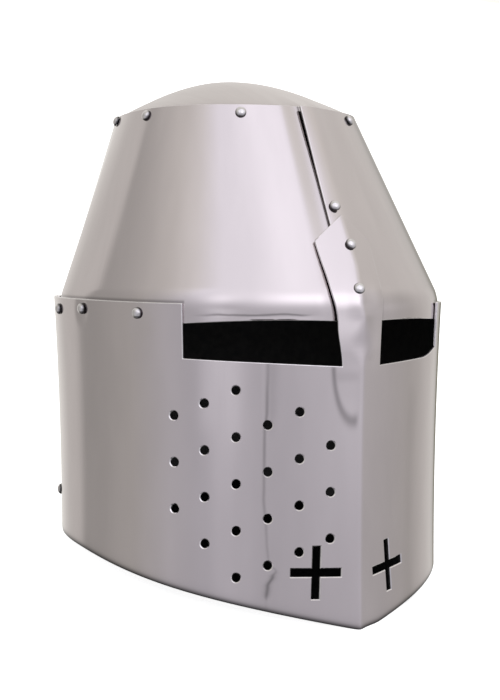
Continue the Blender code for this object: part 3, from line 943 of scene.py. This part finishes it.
def streak(tree, far, width, strength):
    """A soft line where far is 0: strength in its middle, gone after about two widths."""
    share = maths(tree, "DIVIDE", far, width)
    return times(tree, bell(tree, times(tree, share, share)), strength)


def noise(tree, place, scale, detail, roughness=0.5):
    stretch = node(tree, "ShaderNodeMapping", {"Vector": place, "Scale": scale})
    inputs = {"Vector": stretch.outputs["Vector"], "Scale": 1.0, "Detail": detail, "Roughness": roughness}
    return node(tree, "ShaderNodeTexNoise", inputs).outputs["Fac"]


def uv_map(tree, name):
    across, up, _ = split(tree, node(tree, "ShaderNodeUVMap", uv_map=name).outputs["UV"])
    return across, up


def own_place(tree):
    return node(tree, "ShaderNodeTexCoord").outputs["Object"]


def along_path(tree, z, stops):
    """A number that changes evenly between heights, given downward."""
    total = stops[0][1]
    for (upper, before), (lower, after) in zip(stops, stops[1:]):
        total = maths(tree, "ADD", total, fade(tree, z, upper, lower, 0.0, after - before))
    return total


# Upright bands of painted shade, or of painted highlight where a patch's dark is minus
def painted_sheens(tree, s, z, patches):
    made = []
    for patch in patches:
        band = streak(tree, maths(tree, "SUBTRACT", s, patch["s"]), patch["width"], patch["dark"])
        fading, gone = patch["to"]
        made.append(times(tree, band, fade(tree, z, *patch["from"]), fade(tree, z, gone, fading)))
    return made


def face_painted_shading(tree, s, z, waver):
    """Painted shade on the face plate: in the long crease, broad at its top and hooked at its foot, round the
    tongue-shaped dent, and along the lower edge, with upright bands of painted shade and highlight."""
    strayed = maths(tree, "SUBTRACT", s, along_path(tree, z, CREASE_DRIFT))
    from_crease = maths(tree, "SUBTRACT", strayed, CREASE_S)
    from_crease = maths(tree, "ADD", from_crease, times(tree, waver, CREASE_WAVER))
    thin = times(tree, streak(tree, from_crease, *CREASE_LINE), along_path(tree, z, CREASE_DARK))
    hook = times(tree, streak(tree, from_crease, *HOOK_LINE), fade(tree, z, *HOOK_FROM))
    hook = times(tree, hook, fade(tree, z, *HOOK_TO))
    beside = maths(tree, "SUBTRACT", from_crease, CREASE_SHADE_ASIDE)
    broad = times(tree, streak(tree, beside, *CREASE_SHADE), fade(tree, z, *CREASE_FADE))
    across = maths(tree, "DIVIDE", maths(tree, "SUBTRACT", s, TONGUE_S), TONGUE_HALF_WIDTH)
    down = maths(tree, "DIVIDE", maths(tree, "SUBTRACT", z, TONGUE_Z), TONGUE_REACH)
    from_mark = maths(tree, "SUBTRACT", maths(tree, "SQRT", squares(tree, across, down)), TONGUE_MARK_AT)
    tongue = times(tree, streak(tree, from_mark, *TONGUE_MARK_LINE), fade(tree, s, *TONGUE_MARK_S))
    _, over_edge = uv_map(tree, "over_edge")
    hem = maths(tree, "ADD", streak(tree, over_edge, *HEM_LINE), streak(tree, over_edge, *HEM_SHADE))
    painted_shading = [thin, hook, broad, times(tree, tongue, fade(tree, z, *TONGUE_MARK_Z)), hem]
    return painted_shading + painted_sheens(tree, s, z, FACE_PAINTED_SHEENS)


def bar_bow(tree, s, z):
    """Height in metres of a bow that leans the nasal bar back as it rises, so that it shines."""
    on_bar = fade(tree, maths(tree, "ABSOLUTE", s), *BAR_BOW_S)
    return times(tree, fade(tree, z, *BAR_BOW_Z, 0.0, -BAR_BOW), on_bar)


def skull_painted_shading(tree, s, h, waver):
    """Painted shade beside the lap and the nasal bar, in the collar's crease and over the side plates."""
    lap_slope = (LAP_AT_RIM - LAP) / RIM_Z
    from_lap = maths(tree, "SUBTRACT", s, maths(tree, "MULTIPLY_ADD", h, -lap_slope, ROUND - LAP))
    above_bar = fade(tree, h, *LAP_MARK_H)
    lap_line = times(tree, streak(tree, from_lap, *LAP_LINE), above_bar)
    lap_shade = times(tree, streak(tree, from_lap, *LAP_SHADE), above_bar)
    from_crease = maths(tree, "ADD", maths(tree, "SUBTRACT", h, COLLAR_CREASE_H), waver)
    starts = fade(tree, s, *[ROUND - reach for reach in COLLAR_CREASE_FROM])
    ends = fade(tree, s, *[ROUND - reach for reach in COLLAR_CREASE_TO])
    crease = times(tree, streak(tree, from_crease, *COLLAR_CREASE_LINE), starts, ends)
    from_bar = maths(tree, "SUBTRACT", s, BAR_LEFT["brow"] + BESIDE_BAR)
    beside_bar = times(tree, streak(tree, from_bar, *BESIDE_BAR_LINE), fade(tree, h, *BESIDE_BAR_H))
    _, over_edge = uv_map(tree, "over_edge")
    past_left = fade(tree, s, SIGHT_LEFT - SIGHT_MARGIN, SIGHT_LEFT)
    past_right = fade(tree, s, ROUND - SIGHT_RIGHT + SIGHT_MARGIN, ROUND - SIGHT_RIGHT)
    over_plate = times(tree, streak(tree, over_edge, *OVER_PLATE_LINE), past_left, past_right)
    return [lap_line, lap_shade, crease, beside_bar, over_plate] + painted_sheens(tree, s, h, SKULL_PAINTED_SHEENS)


def new_material(name):
    material = bpy.data.materials.new(name)
    material.use_nodes = True
    return material, material.node_tree, material.node_tree.nodes["Principled BSDF"]


# Brushed steel: fine scratches up and down the sheet, cloudy changes of tone, and a waver for the lines of
# painted shade
NOISE_BAND = (0.3, 0.7)
SCRATCHES = (900.0, 14.0, 1.0)
SCRATCH_BUMP = 0.05
SCRATCH_DEPTH = 0.0002
CLOUDS = (34.0, 12.0, 1.0)
CLOUD_TINT = 0.03
WAVER = 0.0022
WAVER_SCALE = (70.0, 70.0, 1.0)

# Painted shade at the foot of a rivet's head: the share of light left there, and from where up to where it
# fades
RIVET_FOOT_SHADE = 0.10
RIVET_FOOT_SHADE_Z = (0.0002, 0.0017)


def brushed_steel(name, colour, roughness, painted_shading=None, bow=None):
    """Satin steel with its painted shade and highlights. A bow is a height that leans its surface by a bump.
    """
    material, tree, surface = new_material(name)
    place = node(tree, "ShaderNodeUVMap", uv_map="UVMap").outputs["UV"]
    scratches = noise(tree, place, SCRATCHES, 5.0, 0.62)
    shade = fade(tree, noise(tree, place, CLOUDS, 3.0), *NOISE_BAND, 1.0 - CLOUD_TINT, 1.0 + CLOUD_TINT)
    if painted_shading:
        waver = times(tree, maths(tree, "SUBTRACT", noise(tree, place, WAVER_SCALE, 2.0), 0.5), WAVER)
        for dark in painted_shading(tree, *uv_map(tree, "UVMap"), waver):
            shade = times(tree, shade, maths(tree, "SUBTRACT", 1.0, dark))
    bump = {"Strength": SCRATCH_BUMP, "Distance": SCRATCH_DEPTH, "Height": scratches}
    relief = node(tree, "ShaderNodeBump", bump)
    if bow:
        height = bow(tree, *uv_map(tree, "UVMap"))
        bowed = node(tree, "ShaderNodeBump", {"Strength": 1.0, "Distance": 1.0, "Height": height})
        tree.links.new(bowed.outputs["Normal"], relief.inputs["Normal"])
    fill(tree, surface, {
        "Metallic": 1.0,
        "Base Color": scaled(tree, colour, shade),
        "Roughness": fade(tree, scratches, *NOISE_BAND, roughness - 0.02, roughness + 0.03),
        "Normal": relief.outputs["Normal"],
    })
    return material


def worn(name, light, dark, roughness, metallic, scale):
    """A surface that changes between two tones in small soft patches, and in sheen with them."""
    material, tree, surface = new_material(name)
    patches = noise(tree, own_place(tree), (scale, scale, scale), 4.0, 0.6)
    fill(tree, surface, {
        "Metallic": metallic,
        "Base Color": blend(tree, fade(tree, patches, 0.35, 0.65), (*dark, 1.0), (*light, 1.0)),
        "Roughness": fade(tree, patches, *NOISE_BAND, roughness + 0.05, roughness - 0.05),
    })
    return material


def darken(material, light):
    """Takes a material's colour times the share of light, which changes over its surface."""
    tree = material.node_tree
    colour = tree.nodes["Principled BSDF"].inputs["Base Color"]
    tree.links.new(scaled(tree, colour.links[0].from_socket, light), colour)


STEEL = (0.645, 0.592, 0.600)
face_steel = brushed_steel("brushed steel, face", STEEL, 0.11, face_painted_shading, bar_bow)
skull_steel = brushed_steel("brushed steel, skull", STEEL, 0.11, skull_painted_shading)
nape_steel = brushed_steel("brushed steel, nape", STEEL, 0.11)
crown_steel = brushed_steel("brushed steel, crown", (0.610, 0.562, 0.566), 0.30)
rivet_steel = worn("polished steel", (0.78, 0.75, 0.76), (0.702, 0.675, 0.684), 0.12, 1.0, 700.0)
# Near black inside: painted shade for the dark inside of the helm
inner_steel = worn("inside, painted shade", (0.016, 0.015, 0.014), (0.007, 0.007, 0.007), 0.65, 0.0, 160.0)
# Near black walls of cut holes, and of the skull plate's sheared edges: painted shade
cut_steel = worn("cut edge, painted shade", (0.050, 0.048, 0.050), (0.020, 0.020, 0.022), 0.5, 1.0, 400.0)
edge_steel = worn("plain sheared edge", (0.80, 0.76, 0.77), (0.66, 0.63, 0.64), 0.40, 1.0, 400.0)
filed_steel = worn("filed edge", (0.84, 0.80, 0.81), (0.72, 0.69, 0.70), 0.2, 1.0, 300.0)

# The rivets' colour, darkened toward the foot of each head as painted shade
tree = rivet_steel.node_tree
_, _, height = split(tree, own_place(tree))
darken(rivet_steel, fade(tree, height, *RIVET_FOOT_SHADE_Z, RIVET_FOOT_SHADE, 1.0))
# The filed edges' colour, darkened along the edge kept in the second UV map as painted shade
tree = filed_steel.node_tree
_, over_edge = uv_map(tree, "over_edge")
darken(filed_steel, maths(tree, "SUBTRACT", 1.0, streak(tree, over_edge, *FILED_HEM_LINE)))

plate_look = [face_steel, inner_steel, cut_steel, edge_steel, filed_steel]

rivets = rivet_list()
holes = bmesh.new()
for _, placed, _, _ in rivets:
    add_prism(holes, ring(SHANK_RADIUS + HOLE_CLEARANCE, 16), HOLE_CUT, placed)
rivet_holes = cutter_object("rivet_holes", holes)

pierced = bmesh.new()
for column, (top, count) in enumerate(BREATH_COLUMNS):
    for row in range(count):
        shapes = ring(BREATH_RADIUS, 28), ring(BREATH_RADIUS + 2 * MOUTH, 28)
        add_piercing(pierced, *shapes, -(column + 1) * BREATH_PITCH, top - row * BREATH_DROP)
for side, turn in ((-1, CROSS_TURN_RIGHT), (1, CROSS_TURN_LEFT)):
    shapes = [cross_outline(CROSS_REACH + wider, CROSS_ARM + 2 * wider) for wider in (0.0, 2 * MOUTH)]
    add_piercing(pierced, *shapes, side * CROSS_S, CROSS_Z, turn)
breaths = cutter_object("breaths_and_crosses", pierced)

block = bmesh.new()
bmesh.ops.create_cube(block, size=FLOOR_BLOCK)
bmesh.ops.translate(block, verts=block.verts, vec=(0.0, 0.0, -0.5 * FLOOR_BLOCK))
bmesh.ops.transform(block, matrix=HELM.inverted(), verts=block.verts)
resting_plane = cutter_object("resting_plane", block)

add_plate("crown_plate", crown_sheet(), [crown_steel, *plate_look[1:]], [rivet_holes])
skull_look = [skull_steel, inner_steel, cut_steel, cut_steel, filed_steel]
add_plate("skull_plate", skull_sheet(), skull_look, [rivet_holes])
add_plate("face_plate", face_sheet(), plate_look, [rivet_holes, breaths, resting_plane])
add_plate("nape_plate", nape_sheet(), [nape_steel, *plate_look[1:]], [rivet_holes, resting_plane])
for name, placed, plates, standoff in rivets:
    add_rivet(name, placed, plates * LAYER - GAP + 2 * SEAT + standoff, rivet_steel)

# Camera, placed in the helm's own frame. Its small turns are in radians
CAMERA_AT = Vector((-0.44416, -0.76641, 0.009535))
CAMERA_AIM = Vector((0.0, 0.0, -0.010))
CAMERA_YAW = 0.00643
CAMERA_PITCH = -0.00839
CAMERA_ROLL = -0.00719
LENS_PIXELS = 1482.0
FRAME_PIXELS = 700


def turned(one, other, angle):
    """Two directions, both turned by an angle from the first toward the other."""
    cos = math.cos(angle)
    sin = math.sin(angle)
    return one * cos + other * sin, other * cos - one * sin


ahead = (CAMERA_AIM - CAMERA_AT).normalized()
aside = ahead.cross(Vector((0.0, 0.0, 1.0))).normalized()
above = aside.cross(ahead)
ahead, aside = turned(ahead, aside, CAMERA_YAW)
ahead, above = turned(ahead, above, CAMERA_PITCH)
aside, above = turned(aside, above, CAMERA_ROLL)
pose = Matrix((aside, above, -ahead)).transposed().to_4x4()
lens = bpy.data.cameras.new("camera")
lens.sensor_width = 36.0
lens.lens = LENS_PIXELS * lens.sensor_width / FRAME_PIXELS
camera = new_object("camera", lens, bpy.context.scene.collection)
camera.matrix_world = HELM @ Matrix.Translation(CAMERA_AT) @ pose
bpy.context.scene.camera = camera

# Floor. It glows a little, as paper lit from all round does, but not under the helm, which is painted shade.
# The painted shade is an ellipse, cut back behind to a second one that keeps within the helm's standing edge
FLOOR_SIZE = 30.0
FLOOR_DROP = 0.0002
FLOOR_SHADE_TONE = 0.010
FLOOR_SHADE_AT = (0.020, 0.0)
FLOOR_SHADE_HALF_WIDTH = 0.075
FLOOR_SHADE_HALF_DEPTH = 0.115
FLOOR_SHADE_EDGE = (1.0, 1.12)
FOOT_HALF_WIDTH = 0.101
FOOT_HALF_DEPTH = 0.088
FOOT_EDGE = (0.985, 1.0)
FLOOR_GLOW = 0.88

sheet = bmesh.new()
bmesh.ops.create_grid(sheet, x_segments=1, y_segments=1, size=FLOOR_SIZE)
floor_mesh = bpy.data.meshes.new("floor")
sheet.to_mesh(floor_mesh)
sheet.free()
floor = new_object("floor", floor_mesh, bpy.context.scene.collection)
floor.location = (0.0, 0.0, -FLOOR_DROP)
floor.visible_glossy = False
pale = worn("pale floor", (0.93, 0.93, 0.93), (0.91, 0.91, 0.91), 0.9, 0.0, 3.0)
tree = pale.node_tree
place = own_place(tree)
spot = node(tree, "ShaderNodeMapping", {
    "Vector": place,
    "Location": (-FLOOR_SHADE_AT[0] / FLOOR_SHADE_HALF_WIDTH, -FLOOR_SHADE_AT[1] / FLOOR_SHADE_HALF_DEPTH, 0.0),
    "Scale": (1.0 / FLOOR_SHADE_HALF_WIDTH, 1.0 / FLOOR_SHADE_HALF_DEPTH, 1.0),
}).outputs["Vector"]
far = node(tree, "ShaderNodeVectorMath", {0: spot}, operation="LENGTH").outputs["Value"]
sideways, backward, _ = split(tree, place)
across = maths(tree, "DIVIDE", sideways, FOOT_HALF_WIDTH)
back = maths(tree, "DIVIDE", maths(tree, "MAXIMUM", backward, 0.0), FOOT_HALF_DEPTH)
foot = maths(tree, "SQRT", squares(tree, across, back))
paper = maths(tree, "MAXIMUM", fade(tree, far, *FLOOR_SHADE_EDGE), fade(tree, foot, *FOOT_EDGE))
surface = tree.nodes["Principled BSDF"]
bare = surface.inputs["Base Color"].links[0].from_socket
fill(tree, surface, {
    "Base Color": blend(tree, paper, (FLOOR_SHADE_TONE, FLOOR_SHADE_TONE, FLOOR_SHADE_TONE, 1.0), bare),
    "Emission Color": (1.0, 1.0, 1.0, 1.0),
    "Emission Strength": times(tree, paper, FLOOR_GLOW),
})
floor_mesh.materials.append(pale)

# Soft studio light: pale walls and a brighter ceiling all round, each given as brightness at an azimuth in
# degrees, with 0 in front of the face and 90 on the wearer's left. Five soft lamps, and a dark patch behind
WALLS = [
    (-180, 0.80),
    (-165, 0.66),
    (-151, 0.66),
    (-147, 0.40),
    (-110, 0.49),
    (-80, 0.57),
    (-56, 0.55),
    (-43, 0.42),
    (-30, 0.56),
    (-12, 0.49),
    (0, 0.52),
    (30, 0.65),
    (60, 0.56),
    (84, 0.49),
    (100, 0.66),
    (113, 0.74),
    (121, 0.66),
    (128, 0.52),
    (135, 0.58),
    (140, 1.00),
]
CEILING = [
    (-180, 0.80),
    (-125, 0.68),
    (-108, 0.73),
    (-90, 0.90),
    (-70, 1.15),
    (-30, 1.20),
    (-6, 1.36),
    (28, 1.31),
    (45, 1.20),
    (65, 0.98),
    (85, 0.85),
    (105, 0.79),
    (150, 0.84),
]
CEILING_FROM = 0.0
CEILING_TO = 50.0
GROUND_FROM = -32.0
GROUND_TO = -52.0
GROUND_SHARE = 0.25
LAMPS = [
    {"azimuth": -5, "elevation": 31, "width": 22, "height": 13, "strength": 0.66},
    {"azimuth": -50, "elevation": 27, "width": 12, "height": 12, "strength": 0.41},
    {"azimuth": -45, "elevation": 5, "width": 10, "height": 6, "strength": 0.40},
    {"azimuth": 0, "elevation": 8, "width": 22, "height": 6, "strength": 0.14},
    {"azimuth": 72, "elevation": 3, "width": 14, "height": 5, "strength": 0.08},
    {"azimuth": 129, "elevation": -13, "width": 6, "height": 13, "strength": -0.34},
]
COOL = (0.985, 0.985, 1.05)
WARM = (1.01, 0.995, 0.945)
COOL_FROM = (-100, -70)
COOL_TO = (40, 85)

# A ramp's colours go no higher than 1, so brightness is kept at half and doubled at the end
KEPT = 0.5

world = bpy.data.worlds.new("studio")
bpy.context.scene.world = world
world.use_nodes = True
sky = world.node_tree


def add_ramp(azimuth, stops):
    """Brightness round the studio from a list of azimuths, closed where it comes round again."""
    ramp = node(sky, "ShaderNodeValToRGB", {"Fac": maths(sky, "MULTIPLY_ADD", azimuth, 1 / 360, 0.5)})
    closed = stops + [(180, stops[0][1])]
    elements = ramp.color_ramp.elements
    while len(elements) < len(closed):
        elements.new(1.0)
    for element, (at, value) in zip(elements, closed):
        cool = smooth(at, *COOL_FROM) * (1.0 - smooth(at, *COOL_TO))
        tint = [w + (c - w) * cool for w, c in zip(WARM, COOL)]
        element.position = (at + 180) / 360
        element.color = (*[KEPT * value * part for part in tint], 1.0)
    return ramp.outputs["Color"]


leftward, backward, upward = split(sky, node(sky, "ShaderNodeTexCoord").outputs["Generated"])
azimuth = maths(sky, "DEGREES", maths(sky, "ARCTAN2", leftward, times(sky, backward, -1.0)))
elevation = maths(sky, "DEGREES", maths(sky, "ARCSINE", upward))
ceiling_share = fade(sky, elevation, CEILING_FROM, CEILING_TO)
room = blend(sky, ceiling_share, add_ramp(azimuth, WALLS), add_ramp(azimuth, CEILING))
light = scaled(sky, room, fade(sky, elevation, GROUND_TO, GROUND_FROM, GROUND_SHARE, 1.0))
for lamp in LAMPS:
    across = maths(sky, "DIVIDE", maths(sky, "SUBTRACT", azimuth, lamp["azimuth"]), lamp["width"])
    up = maths(sky, "DIVIDE", maths(sky, "SUBTRACT", elevation, lamp["elevation"]), lamp["height"])
    glow = times(sky, bell(sky, squares(sky, across, up)), KEPT * lamp["strength"])
    both = {0: light, 1: scaled(sky, COOL, glow)}
    light = node(sky, "ShaderNodeVectorMath", both, operation="ADD").outputs["Vector"]
fill(sky, sky.nodes["Background"], {"Color": light, "Strength": 1.0 / KEPT})

bpy.context.scene.view_settings.view_transform = "Standard"
